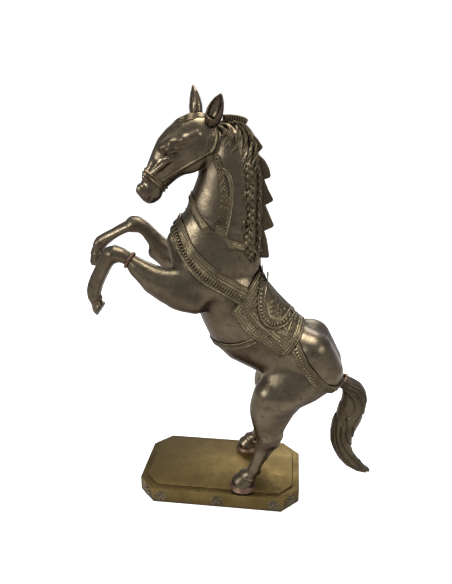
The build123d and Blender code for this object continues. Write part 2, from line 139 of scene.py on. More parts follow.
class Clay:
    """Signed distances on a grid, in metres; below zero is inside."""

    def __init__(self, low, high, voxel):
        self.low, self.voxel = np.array(low, float), voxel
        self.count = np.ceil((np.array(high, float) - self.low) / voxel).astype(int) + 1
        self.field = np.full(self.count, 30 * voxel, np.float32)

    def near(self, low, high):
        first = np.clip(np.floor((low - self.low) / self.voxel).astype(int), 0, self.count)
        last = np.clip(np.ceil((high - self.low) / self.voxel).astype(int) + 1, 0, self.count)
        if np.any(last <= first):
            return None, None
        axes = [self.low[k] + self.voxel * np.arange(first[k], last[k]) for k in range(3)]
        place = np.meshgrid(*axes, indexing="ij", sparse=True)
        return tuple(slice(a, b) for a, b in zip(first, last)), place

    def grid(self):
        axes = [self.low[k] + self.voxel * np.arange(self.count[k]) for k in range(3)]
        return np.meshgrid(*axes, indexing="ij", sparse=True)

    def add_mesh(self, obj, blend=0.0):
        """Cast part's outer skin, merged into the clay."""
        mesh = bmesh.new()
        mesh.from_mesh(obj.data)
        bmesh.ops.remove_doubles(mesh, verts=mesh.verts, dist=1e-6)
        bmesh.ops.triangulate(mesh, faces=mesh.faces)
        mesh.verts.index_update()
        points = np.array([v.co for v in mesh.verts], np.float32)
        faces = np.array([[v.index for v in f.verts] for f in mesh.faces], np.uint32)
        mesh.free()
        grid = vdb.FloatGrid.createLevelSetFromPolygons(
            (points - self.low).astype(np.float32), faces,
            transform=vdb.createLinearTransform(voxelSize=self.voxel), halfWidth=12.0)
        part = np.zeros(self.count, np.float32)
        grid.copyToArray(part)
        self.field = soft_union(self.field, part, blend)

    def stroke(self, start, end, start_radius, end_radius, blend, cut=False, flat=None, keep=1.0):
        """Round cone pressed onto or out of the clay; flat and keep squash it along a direction."""
        a, b = np.array(start, float), np.array(end, float)
        reach = max(start_radius, end_radius) + 2.5 * blend + 2 * self.voxel
        window, place = self.near(np.minimum(a, b) - reach, np.maximum(a, b) + reach)
        if window is None:
            return
        p = [place[k] - a[k] for k in range(3)]
        run = b - a
        if flat is not None:
            f = np.array(flat, float) / np.linalg.norm(flat)
            off = sum(p[k] * f[k] for k in range(3))
            p = [p[k] + off * f[k] * (1.0 / keep - 1.0) for k in range(3)]
            run = run + f * (run @ f) * (1.0 / keep - 1.0)
        length2 = max(run @ run, 1e-12)
        t = np.clip(sum(p[k] * run[k] for k in range(3)) / length2, 0, 1)
        away = np.sqrt(sum((p[k] - t * run[k]) ** 2 for k in range(3)))
        d = (away - (start_radius + (end_radius - start_radius) * t)).astype(np.float32)
        if flat is not None:
            d = d * (0.5 + 0.5 * keep)
        old = self.field[window]
        self.field[window] = -soft_union(-old, d, blend) if cut else soft_union(old, d, blend)

    def blur(self, sigma):
        steps = int(math.ceil(2.2 * sigma / self.voxel))
        if steps < 1:
            return
        weight = np.exp(-0.5 * (np.arange(-steps, steps + 1) * self.voxel / sigma) ** 2)
        weight /= weight.sum()
        for axis in range(3):
            total = np.zeros_like(self.field)
            padded = np.pad(self.field, [(steps, steps) if k == axis else (0, 0) for k in range(3)], mode="edge")
            for i, w in enumerate(weight):
                window = [slice(None)] * 3
                window[axis] = slice(i, i + self.field.shape[axis])
                total += np.float32(w) * padded[tuple(window)]
            self.field = total

    def skin(self, name, field=None):
        """Closed mesh of the clay's surface."""
        data = self.field if field is None else field
        data = np.pad(data, 1, constant_values=4 * self.voxel).astype(np.float32)
        grid = vdb.FloatGrid(4 * self.voxel)
        grid.copyFromArray(np.clip(data, -4 * self.voxel, 4 * self.voxel))
        points, quads = grid.convertToQuads(0.0)
        points = points * self.voxel + (self.low - self.voxel)
        mesh = bpy.data.meshes.new(name)
        mesh.from_pydata(points.tolist(), [], quads[:, ::-1].tolist())
        mesh.update()
        return mesh


def soft_union(a, b, blend):
    if blend <= 0:
        return np.minimum(a, b)
    h = np.clip(0.5 + 0.5 * (b - a) / blend, 0, 1)
    return (b * (1 - h) + a * h - blend * h * (1 - h)).astype(np.float32)


def spot(x, y, z):
    """Place given in millimetres of the horse, on the real model."""
    return np.array([x, y, z], float) * unit


head_turn = math.radians(15.0)
poll_x = -4.0


def on_head(x, y, z):
    """Place on the straight head, turned with it towards the near side."""
    c, s = math.cos(head_turn), math.sin(head_turn)
    return spot(poll_x + (x - poll_x) * c - y * s, (x - poll_x) * s + y * c, z)


def chain(clay, places, radii, blend, **more):
    for (a, b), (ra, rb) in zip(zip(places, places[1:]), zip(radii, radii[1:])):
        clay.stroke(a, b, ra * unit, rb * unit, blend * unit, **more)


def press_muscles(clay):
    """Chest, shoulders, flanks and haunches."""
    for s in (-1, 1):
        chain(clay, [spot(-52, 13 * s, 334), spot(-45, 15 * s, 310)], (10, 11), 10)
        chain(clay, [spot(-32, 28 * s, 318), spot(-26, 31 * s, 296)], (9, 11), 14)
        chain(clay, [spot(-26, 40 * s, 268), spot(-46, 41 * s, 272)], (13, 11), 10)
        chain(clay, [spot(-72, 38 * s, 296), spot(-92, 38 * s, 305)], (11, 8), 8)
        chain(clay, [spot(112, 22 * s, 204), spot(128, 20 * s, 178)], (24, 21), 14)
        chain(clay, [spot(66, 52 * s, 200), spot(52, 52 * s, 206)], (9, 7), 14, cut=True)
        chain(clay, [spot(-4, 50 * s, 262), spot(2, 50 * s, 240)], (5, 4), 12, cut=True)
        chain(clay, [spot(132, 45 * s, 160), spot(104, 55 * s, 140)], (5, 6), 10, cut=True)
    chain(clay, [spot(-68, 0, 345), spot(-66, 0, 300)], (3, 4), 9, cut=True)


def press_foreleg(clay, knee, fetlock, hoof_top, hoof_toe, back, sole):
    """Knee cap, fetlock, tendon and hoof of a lifted foreleg."""
    knee, fetlock, hoof_top, hoof_toe = (np.array(p) for p in (knee, fetlock, hoof_top, hoof_toe))
    back = np.array(back, float)
    side = np.array([0, 1.0, 0])
    chain(clay, [knee, knee - back * 3 * unit], (9.2, 8), 4)
    for s in (-1, 1):
        chain(clay, [knee + side * s * 6.5 * unit, fetlock + side * s * 3.5 * unit], (4.0, 2.6), 4)
        chain(clay, [fetlock + side * s * 4.5 * unit, fetlock + side * s * 4.5 * unit + back * unit], (5, 5), 4)
    chain(clay, [fetlock + back * 7 * unit, fetlock + back * 8 * unit], (2.6, 2.2), 3)
    chain(clay, [hoof_top, hoof_toe], (8.4, 10.5), 2)
    down = np.array(sole, float)
    down /= np.linalg.norm(down)
    chain(clay, [hoof_top, hoof_top + down * 0.5 * unit], (9.3, 9.3), 1.2, flat=down, keep=0.12)
    slice_off(clay, hoof_toe + down * 4.5 * unit, down, 16 * unit)


def slice_off(clay, place, normal, reach):
    """Cut the clay off flat beyond a place."""
    window, p = clay.near(place - reach, place + reach)
    if window is None:
        return
    d = sum((p[k] - place[k]) * normal[k] for k in range(3)).astype(np.float32)
    near_it = np.sqrt(sum((p[k] - place[k]) ** 2 for k in range(3))) < reach
    old = clay.field[window]
    clay.field[window] = np.where(near_it, np.maximum(old, d + np.zeros_like(old)), old)


def press_hind_leg(clay, s):
    """Gaskin, hock point, cannon, fetlock and hoof."""
    y = 42 * s
    chain(clay, [spot(62, 37 * s, 150), spot(60, 40 * s, 122)], (16, 12), 8)
    chain(clay, [spot(88, 38 * s, 136), spot(74, y, 101)], (8, 4.5), 8)
    chain(clay, [spot(76, y, 99), spot(72, y, 86)], (5, 4.6), 4)
    chain(clay, [spot(69, y, 82), spot(50, y, 50)], (3.4, 3.2), 4)
    for side in (-1, 1):
        chain(clay, [spot(61, y + 8 * side, 96), spot(56, y + 5 * side, 82)], (5, 3), 4)
        chain(clay, [spot(58, y + 3 * side, 78), spot(46, y + 3.6 * side, 48)], (4, 4.4), 4)
    chain(clay, [spot(51, y, 45), spot(53, y, 43)], (3, 2.6), 3)
    chain(clay, [spot(36, y, 36), spot(31, y, 27)], (9, 13), 3)
    chain(clay, [spot(38, y, 37.5), spot(37.6, y, 37)], (11.6, 11.6), 1.5, flat=(0.35, 0, 0.94), keep=0.14)
    slice_off(clay, spot(32, y, 21.6), np.array([0, 0, -1.0]), 24 * unit)


def press_face(clay):
    """Eyes, brows, cheeks, nostrils and lips."""
    for s in (-1, 1):
        chain(clay, [on_head(-29, 11 * s, 439), on_head(-36, 11 * s, 427)], (17, 14), 8, flat=(0.2, 1, 0), keep=0.4)
        chain(clay, [on_head(-58, 18.5 * s, 430), on_head(-78, 11.5 * s, 412)], (2.2, 2.0), 6)
        chain(clay, [on_head(-66, 19.5 * s, 429), on_head(-52, 23.5 * s, 433)], (3.4, 4.2), 4, cut=True)
        chain(clay, [on_head(-58.5, 13.6 * s, 435.3), on_head(-56, 14.2 * s, 436)], (5.0, 5.0), 0.6)
        upper = [(-65.5, 15.6, 432), (-62.5, 18.0, 437), (-58, 19.2, 439.6), (-52, 19.8, 439), (-46, 20.0, 437.6)]
        lower = [(-65.5, 15.6, 431), (-60, 18.0, 430.6), (-55, 19.2, 431.8), (-50, 19.8, 434.4)]
        chain(clay, [on_head(x, y * s, z) for x, y, z in upper], (0.7, 1.1, 1.3, 1.1, 0.6), 0.8)
        chain(clay, [on_head(x, y * s, z) for x, y, z in lower], (0.6, 0.9, 0.9, 0.6), 0.8)
        brow = [on_head(-67, 13 * s, 439.5), on_head(-57, 16.5 * s, 444), on_head(-43, 18.5 * s, 448),
                on_head(-29, 18.5 * s, 454)]
        chain(clay, brow, (1.8, 3.2, 3.0, 2.2), 5)
        chain(clay, [on_head(-77, 8.5 * s, 424), on_head(-87, 8 * s, 408)], (2.6, 3.0), 5)
        chain(clay, [on_head(-70, 19 * s, 411), on_head(-78, 16 * s, 402)], (3, 2.4), 6, cut=True)
        chain(clay, [on_head(-91, 6.5 * s, 394), on_head(-87, 8 * s, 391)], (6.2, 5.0), 3)
        nostril = [on_head(-95.5, 10.8 * s, 396), on_head(-91, 13.6 * s, 399), on_head(-86.5, 14.4 * s, 396.5)]
        chain(clay, nostril, (0.9, 1.5, 1.0), 1.2, cut=True)
        mouth = [on_head(-84, 6 * s, 380), on_head(-82, 12.5 * s, 385), on_head(-77, 14 * s, 390.5),
                 on_head(-71, 13.5 * s, 395.5)]
        chain(clay, mouth, (1.0, 1.0, 0.9, 0.7), 1.6, cut=True)
        chain(clay, [on_head(-13, 23 * s, 446), on_head(-20, 22 * s, 418)], (2.4, 3), 6, cut=True)
    chain(clay, [on_head(-75, -4, 389), on_head(-75, 4, 389)], (6, 6), 3)
    chain(clay, [on_head(-92, 0, 403), on_head(-98, 0, 392)], (1.0, 1.0), 3, cut=True)


def whole_horse(low, high, voxel, nodes):
    """Clay of the horse inside a box, from the castings that reach into it."""
    clay = Clay(np.array(low) - 3 * voxel, np.array(high) + 3 * voxel, voxel)
    for node in nodes:
        clay.add_mesh(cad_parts[node])
    clay.blur(1.6 * unit)
    fine = clay.field.copy()
    clay.blur(5.0 * unit)
    place = clay.grid()
    a, b = spot(-32, 0, 318), spot(112, 0, 184)      # the trunk's axis, round which the clay is smoothest
    run = b - a
    t = np.clip(sum((place[k] - a[k]) * run[k] for k in range(3)) / (run @ run), 0, 1)
    away = np.sqrt(sum((place[k] - a[k] - t * run[k]) ** 2 for k in range(3))) / unit
    share = np.clip((66 - away) / 16, 0, 1)
    clay.field = (share * clay.field + (1 - share) * fine).astype(np.float32)
    press_muscles(clay)
    press_foreleg(clay, spot(-121, -38, 322), spot(-147, -38, 270), spot(-142, -38, 255), spot(-133, -38, 248),
                  (0.93, 0, -0.2), (0.98, 0, -0.18))
    press_foreleg(clay, spot(-117, 38, 341), spot(-165, 38, 315), spot(-168, 38, 303), spot(-168, 38, 292),
                  (0.4, 0, -0.9), (0.05, 0, -1))
    for s in (-1, 1):
        press_hind_leg(clay, s)
    press_face(clay)
    return clay


def plane_field(clay, place, normal):
    """Distance beyond a plane over the clay's whole grid."""
    normal = np.array(normal, float) / np.linalg.norm(normal)
    p = clay.grid()
    return sum((p[k] - place[k]) * normal[k] for k in range(3)).astype(np.float32)


def node_clay(node, voxel, margin):
    """Clay round one cast node, empty as yet."""
    low, high = (np.array(corner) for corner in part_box(node))
    return Clay(low - margin, high + margin, voxel)


def finish_piece(mesh, name, metal, slot, *nodes):
    """Put a closed mesh into the scene for its cast nodes."""
    for polygon in mesh.polygons:
        polygon.use_smooth = True
    mesh.set_sharp_from_angle(angle=math.radians(50))
    mesh.materials.clear()
    mesh.materials.append(metal)
    piece = bpy.data.objects.new(name, mesh)
    bpy.context.collection.objects.link(piece)
    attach(piece, "root")
    if nodes:
        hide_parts(*nodes)
    return piece


def old_brass(name, tone, patina_and_painted_shade, polish, grain=1.0):
    """Hand-rubbed old brass: mottled patina and lighter rubbed edges, with painted shade: darker and redder on
    downward faces, near black in crevices.
    """
    metal = bpy.data.materials.new(name)
    metal.use_nodes = True
    nodes, links = metal.node_tree.nodes, metal.node_tree.links
    shader = nodes["Principled BSDF"]
    shader.inputs["Metallic"].default_value = 1.0
    where = nodes.new("ShaderNodeTexCoord")

    def noise(scale, detail, rough):
        node = nodes.new("ShaderNodeTexNoise")
        node.inputs["Scale"].default_value = scale
        node.inputs["Detail"].default_value = detail
        node.inputs["Roughness"].default_value = rough
        links.new(where.outputs["Object"], node.inputs["Vector"])
        return node

    def ramp(source, low, high, dark, light):
        node = nodes.new("ShaderNodeMapRange")
        node.inputs["From Min"].default_value, node.inputs["From Max"].default_value = low, high
        node.inputs["To Min"].default_value, node.inputs["To Max"].default_value = dark, light
        node.interpolation_type = "SMOOTHSTEP"
        links.new(source, node.inputs["Value"])
        return node.outputs["Result"]

    def mix(share, a, b):
        node = nodes.new("ShaderNodeMix")
        node.data_type = "RGBA"
        for socket, value in ((node.inputs[0], share), (node.inputs[6], a), (node.inputs[7], b)):
            if isinstance(value, bpy.types.NodeSocket):
                links.new(value, socket)
            else:
                socket.default_value = value
        return node.outputs[2]

    clouds, mottle, pits = noise(26.0, 6.0, 0.6), noise(150.0, 5.0, 0.65), noise(900.0, 3.0, 0.5)
    cloud_share = ramp(clouds.outputs["Fac"], 0.36, 0.66, 0.0, 1.0)
    color = mix(cloud_share, tone, tuple(c * 0.6 for c in tone[:3]) + (1,))
    color = mix(ramp(mottle.outputs["Fac"], 0.5, 0.72, 0.0, 0.5), color, patina_and_painted_shade)
    # Painted shade: faces turning from up towards down are mixed more and more into the dark colour, which also
    # serves the patina mottling.
    geometry = nodes.new("ShaderNodeNewGeometry")
    painted_underside_shade_z = nodes.new("ShaderNodeSeparateXYZ")
    links.new(geometry.outputs["Normal"], painted_underside_shade_z.inputs["Vector"])
    color = mix(ramp(painted_underside_shade_z.outputs["Z"], 0.3, -0.7, 0.0, 0.85), color, patina_and_painted_shade)
    # Painted shade: crevices and tight hollows are darkened to near black by ambient occlusion.
    painted_crevice_shade = nodes.new("ShaderNodeAmbientOcclusion")
    painted_crevice_shade.inputs["Distance"].default_value = 0.006
    painted_crevice_shade.samples = 6
    color = mix(ramp(painted_crevice_shade.outputs["AO"], 0.35, 0.9, 0.85, 0.0), color, (0.035, 0.026, 0.018, 1))
    rubbed = ramp(geometry.outputs["Pointiness"], 0.52, 0.58, 0.0, 0.55)
    color = mix(rubbed, color, tuple(min(c * 1.7, 1.0) for c in tone[:3]) + (1,))
    links.new(color, shader.inputs["Base Color"])
    rough = ramp(clouds.outputs["Fac"], 0.3, 0.7, polish - 0.05, polish + 0.1)
    links.new(rough, shader.inputs["Roughness"])
    height = nodes.new("ShaderNodeMath")
    height.operation = "MULTIPLY_ADD"
    links.new(mottle.outputs["Fac"], height.inputs[0])
    height.inputs[1].default_value = 1.6
    links.new(pits.outputs["Fac"], height.inputs[2])
    bump = nodes.new("ShaderNodeBump")
    bump.inputs["Strength"].default_value = 0.22 * grain
    bump.inputs["Distance"].default_value = 0.0008
    links.new(height.outputs[0], bump.inputs["Height"])
    links.new(bump.outputs["Normal"], shader.inputs["Normal"])
    return metal


# Each metal's second colour is its dark patina for the mottling and also the painted shade on downward faces.
hide_metal = old_brass("old_brass_hide", (0.225, 0.178, 0.118, 1), (0.062, 0.037, 0.027, 1), 0.29)

# The seams: the head parts behind the headstall, the neck at the collar, the forelegs at the braze
# lines, the hind legs above the gaskin. Each piece has the grid that its own detail needs.
casts = [
    ("horse_trunk", "trunk_casting", 1.25,
     ["trunk_casting", "neck_casting", "near_foreleg", "far_foreleg", "near_hind_leg", "far_hind_leg"]),
    ("horse_neck", "neck_casting", 1.1, ["trunk_casting", "neck_casting", "head_casting"]),
    ("horse_head", "head_casting", 0.62, ["neck_casting", "head_casting"]),
    ("horse_near_foreleg", "near_foreleg", 0.75, ["trunk_casting", "near_foreleg"]),
    ("horse_far_foreleg", "far_foreleg", 0.75, ["trunk_casting", "far_foreleg"]),
    ("horse_near_hind_leg", "near_hind_leg", 0.95, ["trunk_casting", "near_hind_leg"]),
    ("horse_far_hind_leg", "far_hind_leg", 0.95, ["trunk_casting", "far_hind_leg"]),
]
turn_x, turn_y = math.cos(head_turn), math.sin(head_turn)


def seam_sides(clay):
    """For each seam, a field that is below zero on the far side of it from the trunk."""
    across = plane_field(clay, spot(0, 0, 0), (0, 1, 0))
    below_leg = plane_field(clay, spot(71.5, 0, 139.5), (0.03, 0, 1))
    near_arm = np.maximum(plane_field(clay, spot(-101.5, -38, 315.5), (0.84, 0, -0.54)), across)
    far_arm = np.maximum(plane_field(clay, spot(-119.5, 38, 340.8), (1, 0, -0.05)), -across)
    collar = plane_field(clay, spot(-42, 0, 370.5), (-0.338, 0, -0.941))
    cheek = plane_field(clay, on_head(-11, 0, 440), (turn_x, turn_y, 0))
    throat = plane_field(clay, on_head(-27, 0, 408), (0.695 * turn_x, 0.695 * turn_y, -0.718))
    return {
        "near_foreleg": near_arm,
        "far_foreleg": far_arm,
        "near_hind_leg": np.maximum(below_leg, across),
        "far_hind_leg": np.maximum(below_leg, -across),
        "neck_casting": collar,
        "head_casting": np.maximum(cheek, throat),
    }


horse_clays = {}
for piece_name, node, voxel, neighbours in casts:
    low, high = (np.array(corner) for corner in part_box(node))
    clay = whole_horse(low, high, voxel * unit, neighbours)
    sides = seam_sides(clay)
    part = clay.field
    lap = 1.5 * voxel * unit
    if node == "trunk_casting":
        for other, side in sides.items():
            if other != "head_casting":
                part = np.maximum(part, -side - lap)
    else:
        part = np.maximum(part, sides[node] - lap)
        if node == "neck_casting":
            part = np.maximum(part, -sides["head_casting"] - lap)
    horse_clays[node] = clay
    finish_piece(clay.skin(piece_name, part), piece_name, hide_metal, "hide_brass", node)

# ---- Saddle, cloth and bands ---------------------------------------------------------------------
# Chased relief in the same brass, two to four millimetres proud of the hide: bordered saddle cloth,
# half-round skirts, smooth seat, ribbed breast band and crupper, rope-edged collar, neck straps.
harness_metal = old_brass("old_brass_harness", (0.24, 0.19, 0.115, 1), (0.055, 0.035, 0.024, 1), 0.35, 1.3)
hoof_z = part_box("near_hind_leg")[0][2] / unit       # height of the hooves' soles, in horse millimetres


def smooth_path(corners, step=1.5):
    """Even points along a rounded line through the corners, in side view."""
    p = np.array(corners, float)
    p = np.vstack([2 * p[0] - p[1], p, 2 * p[-1] - p[-2]])
    out = []
    for a, b, c, d in zip(p, p[1:], p[2:], p[3:]):
        n = max(int(np.linalg.norm(c - b) / step), 1)
        for t in np.arange(n) / n:
            bent = (2 * a - 5 * b + 4 * c - d) * t ** 2 + (3 * b - a - 3 * c + d) * t ** 3
            out.append(0.5 * (2 * b + (c - a) * t + bent))
    out.append(p[-2])
    return np.array(out)


def side_view(clay, on_the_head=False):
    """Side-view x and height above the hooves of each grid place, in horse millimetres, and its y."""
    x, y, z = (axis / unit for axis in clay.grid())
    if on_the_head:
        c, s = math.cos(head_turn), math.sin(head_turn)
        x, y = poll_x + (x - poll_x) * c + y * s, -(x - poll_x) * s + y * c
    return x, y, z - hoof_z


def along(x, z, path):
    """Distance along a side-view path, and off it (to its left is above zero)."""
    x, z = np.broadcast_arrays(x, z)
    best = np.full(x.shape, 1e9, np.float32)
    run_s, off_c = np.zeros(x.shape, np.float32), np.zeros(x.shape, np.float32)
    done = 0.0
    for (ax, az), (bx, bz) in zip(path, path[1:]):
        dx, dz = bx - ax, bz - az
        length = math.hypot(dx, dz)
        t = np.clip(((x - ax) * dx + (z - az) * dz) / length ** 2, 0, 1)
        d = (x - ax - t * dx) ** 2 + (z - az - t * dz) ** 2
        closer = d < best
        side = (dx * (z - az) - dz * (x - ax)) / length
        best = np.where(closer, d, best)
        run_s = np.where(closer, done + t * length, run_s)
        off_c = np.where(closer, np.sign(side) * np.sqrt(d), off_c)
        done += length
    return run_s, off_c


def rail(c, place, width, high):
    return high * np.exp(-((c - place) / width) ** 2)


def studs(s, c, place, pitch, long, wide, high):
    """Row of rounded studs: pitch apart, long by wide."""
    u = (s / pitch - np.floor(s / pitch) - 0.5) * pitch
    return high * np.sqrt(np.clip(1 - (u / long) ** 2 - ((c - place) / wide) ** 2, 0, 1))


def slanted(s, c, pitch, lean, high):
    return high * (0.5 + 0.5 * np.cos(2 * math.pi * (s + lean * c) / pitch))


def relief_piece(clay, name, thick, inside, node, keep=None):
    """Closed shell over the hide: thick in millimetres, kept where inside and keep are below zero."""
    field = np.maximum(clay.field - (thick * unit).astype(np.float32), -(clay.field + 0.9 * unit))
    field = np.maximum(field, (inside * unit).astype(np.float32))
    if keep is not None:
        field = np.maximum(field, (keep * unit).astype(np.float32))
    finish_piece(clay.skin(name, field), name, harness_metal, "harness_brass", node)


coarse = 1.0
boxes = np.array([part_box(n) for n in ("breast_band", "girth", "saddle_cloth", "saddle_seat")])
low, high = boxes[:, 0].min(axis=0), boxes[:, 1].max(axis=0)
flank = whole_horse(low, high, 0.66 * coarse * unit, ["trunk_casting", "neck_casting"])
x, y, z = side_view(flank)

breast_path = smooth_path([(-66, 345), (-50, 329), (-36, 306), (-16, 286), (10, 267), (31, 254)])
s, c = along(x, z, breast_path)
thick = 0.9 + rail(c, 9.0, 0.9, 1.0) + rail(c, 6.0, 0.9, 1.0) + rail(c, -8.8, 0.9, 0.9) + rail(c, 2.6, 0.8, 0.6)
thick = thick + studs(s, c, -3.2, 3.4, 1.45, 4.2, 1.4)
cloth_path = smooth_path([(68, 303), (44, 271), (24, 243), (20, 237), (24, 232), (36, 216), (56, 198), (71, 186),
                          (75, 185), (79, 187), (93, 204), (103, 222), (124, 238)], 2.0)
cloth_s, cloth_c = along(x, z, cloth_path)
relief_piece(flank, "chased_breast_band", thick, np.abs(c) - 10, "breast_band", keep=cloth_c + 0.5)

skirt_path = smooth_path(
    [(47, 262), (46, 249), (47, 236), (54, 223), (65, 217), (78, 218), (90, 226), (102, 236)], 2.0)
skirt_s, skirt_c = along(x, z, skirt_path)
seat_path = smooth_path(
    [(52, 292), (55, 268), (58, 256), (68, 243), (80, 233), (92, 228), (103, 228.5), (118, 232)], 2.0)
seat_s, seat_c = along(x, z, seat_path)

ground = 0.9 + slanted(cloth_s, cloth_c, 9.0, 0.6, 0.15)
thick = ground + rail(cloth_c, 1.2, 0.9, 1.0) + rail(cloth_c, 4.0, 0.8, 0.9) + rail(cloth_c, 13.2, 0.9, 0.9)
thick = thick + studs(cloth_s, cloth_c, 8.6, 3.2, 1.35, 3.6, 1.0) + rail(cloth_c, 16.4, 0.8, 0.7)
thick = thick + studs(cloth_s, cloth_c, 20.5, 7.0, 3.0, 2.4, 0.8)
fringe = np.where(cloth_c < 0, 0.45 + slanted(cloth_s, cloth_c, 2.3, 0.0, 0.8), thick)
relief_piece(flank, "chased_saddle_cloth", fringe, -cloth_c - 3.0, "saddle_cloth",
             keep=np.minimum(seat_c, skirt_c) - 2)

middle_x, middle_z = 70.0, 239.0
out_r = np.sqrt((x - middle_x) ** 2 + (z - middle_z) ** 2)
out_a = np.arctan2(z - middle_z, x - middle_x)
petals = np.abs(np.cos(out_a * 5.0))
thick = 2.2 + rail(skirt_c, 0.9, 0.8, 0.9) + studs(skirt_s, skirt_c, 4.6, 4.4, 1.9, 2.5, 1.4)
thick = thick + rail(skirt_c, 8.2, 0.8, 0.9)
thick = thick + rail(out_r, 4.0 + 5.0 * petals, 1.1, 0.9) + rail(out_r, 0.0, 2.2, 1.0) + 0 * skirt_c
for side, label in ((-1, "near"), (1, "far")):
    relief_piece(flank, f"chased_{label}_skirt", thick, -skirt_c, f"{label}_saddle_skirt",
                 keep=np.maximum(seat_c - 1, -y * side) + 0 * skirt_c)

back_run = np.array([103.0 - 54.0, 229.0 - 268.0])
back_u = ((x - 54.0) * back_run[0] + (z - 268.0) * back_run[1]) / (back_run @ back_run)
swell = 3.4 * np.exp(-((back_u + 0.02) / 0.08) ** 2) + 1.6 * np.exp(-((back_u - 1.0) / 0.1) ** 2)
thick = 2.0 + swell + rail(seat_c, 1.2, 1.0, 0.9) + rail(seat_c, 4.2, 0.7, 0.5)
ends = np.maximum(-0.1 - back_u, back_u - 1.07) * 62.0
relief_piece(flank, "saddle_seat_cast", thick, np.maximum(-seat_c, ends), "saddle_seat")

_, girth_c = along(x, z, smooth_path([(48, 206), (36, 199), (20, 192), (2, 189), (-14, 188)]))
thick = 0.4 + rail(girth_c, 3.0, 0.8, 1.1) + rail(girth_c, -3.0, 0.8, 1.0) + rail(girth_c, 0.6, 0.7, 0.6)
relief_piece(flank, "chased_girth", thick, np.abs(girth_c) - 4.5, "girth", keep=cloth_c + 3.0)

low, high = (np.array(corner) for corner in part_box("crupper_band"))
hip = whole_horse(low - 0.004, high + 0.004, 0.6 * coarse * unit, ["trunk_casting"])
x, y, z = side_view(hip)
s, c = along(x, z, smooth_path([(90, 198), (102, 175), (113, 161), (126, 147), (140, 140), (158, 133)]))
thick = 0.9 + rail(c, 5.2, 0.9, 1.0) + rail(c, 2.6, 0.7, 0.7) + rail(c, -5.4, 0.9, 0.9)
thick = thick + studs(s, c, -1.6, 3.4, 1.45, 2.8, 1.2)
_, cloth_c = along(x, z, cloth_path)
relief_piece(hip, "chased_crupper", thick, np.abs(c) - 6.6, "crupper_band", keep=cloth_c + 3.0)

low, high = (np.array(corner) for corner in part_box("neck_casting"))
low[2] = 322 * unit
crest = whole_horse(low, high, 0.66 * coarse * unit, ["trunk_casting", "neck_casting"])
x, y, z = side_view(crest)
collar_path = smooth_path(
    [(-48, 375), (-35, 363), (-27, 346), (-14, 331), (-3, 322), (12, 316), (27, 310), (42, 305), (56, 302)])
s, c = along(x, z, collar_path)
rope = rail(c, -2.6, 1.5, 1.0) * (0.55 + slanted(s, c, 2.6, 1.1, 0.9))
relief_piece(crest, "roped_collar", 0.5 + rail(c, 3.0, 1.0, 1.1) + rail(c, 0.6, 0.9, 0.8) + 1.2 * rope,
             np.abs(c) - 4.6, "neck_collar")
ribbed = smooth_path([(-2, 408), (1, 397), (4, 381), (7, 363), (6, 346), (2, 325)])
double = smooth_path([(-4, 410), (-2, 399), (11, 389), (15, 367), (12, 342), (8, 323)])
collar_c = c
for side, label in ((-1, "near"), (1, "far")):
    s, c = along(x, z, ribbed)
    width = 2.4 + 2.8 * np.clip(s / 80, 0, 1)
    s2, c2 = along(x, z, double)
    strap = 0.6 + slanted(s, c, 3.4, 0.9, 1.5)
    lines = 0.5 + rail(np.abs(c2), 1.6, 0.8, 1.0)
    first = np.abs(c) - width - 0.8 < np.abs(c2) - 3.0
    inside = np.minimum(np.abs(c) - width - 0.8, np.abs(c2) - 3.0)
    relief_piece(crest, f"ribbed_{label}_neck_strap", np.where(first, strap, lines), inside, f"{label}_neck_strap",
                 keep=np.maximum(4.6 - collar_c, -y * side) + 0 * c)

# ---- Bridle --------------------------------------------------------------------------------------
# Double noseband, cheek straps along the jaw and a headstall behind the ears, cast with the head.
low, high = (np.array(corner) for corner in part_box("head_casting"))
muzzle = whole_horse(low - 0.004, high + 0.004, 0.55 * coarse * unit, ["neck_casting", "head_casting"])
x, y, z = side_view(muzzle, on_the_head=True)
s, c = along(x, z, smooth_path([(-98, 402), (-89, 394), (-80, 387), (-72, 380), (-58, 366)]))
thick = 0.4 + rail(c, 2.3, 1.0, 1.2) + rail(c, -2.0, 1.0, 1.2)
relief_piece(muzzle, "double_noseband", thick, np.abs(c) - 3.7, "noseband", keep=364 - z + 0 * c)
nose_c = c
s, c = along(x, z, smooth_path([(-8, 462), (-8, 440), (-7, 430), (-10, 420), (-14, 413)]))
relief_piece(muzzle, "headstall_strap", 0.5 + rail(c, 0, 1.5, 1.4), np.abs(c) - 2.2, "headstall")
s, c = along(x, z, smooth_path([(-10, 418), (-14, 414), (-30, 405), (-48, 394), (-66, 383)]))
for side, label in ((-1, "near"), (1, "far")):
    thick = 0.5 + rail(c, 0, 1.5, 1.4)
    relief_piece(muzzle, f"{label}_cheek_strap_cast", thick, np.abs(c) - 2.1, f"{label}_cheek_strap",
                 keep=np.maximum(3.6 - np.abs(nose_c), -y * side) + 0 * c)

# ---- Mane, plaits and forelock -------------------------------------------------------------------
# The mane stands up as a cast comb with five swept teeth; below it wavy locks and two plaits lie on
# each side of the neck. All in darker, less handled brass, brazed along the neck's back.
hair_metal = old_brass("old_brass_hair", (0.155, 0.122, 0.075, 1), (0.045, 0.029, 0.02, 1), 0.38, 1.2)


def outline_field(x, z, corners):
    """Distance to a closed side-view outline, below zero inside it, in horse millimetres."""
    x, z = np.broadcast_arrays(x, z)
    nearest, inside = np.full(x.shape, 1e9, np.float32), np.zeros(x.shape, bool)
    for (ax, az), (bx, bz) in zip(corners, corners[1:] + corners[:1]):
        dx, dz = bx - ax, bz - az
        t = np.clip(((x - ax) * dx + (z - az) * dz) / (dx * dx + dz * dz), 0, 1)
        nearest = np.minimum(nearest, (x - ax - t * dx) ** 2 + (z - az - t * dz) ** 2)
        inside ^= ((az > z) != (bz > z)) & (x < ax + (z - az) * dx / (dz if dz else 1e-9))
    return np.where(inside, -1, 1) * np.sqrt(nearest)


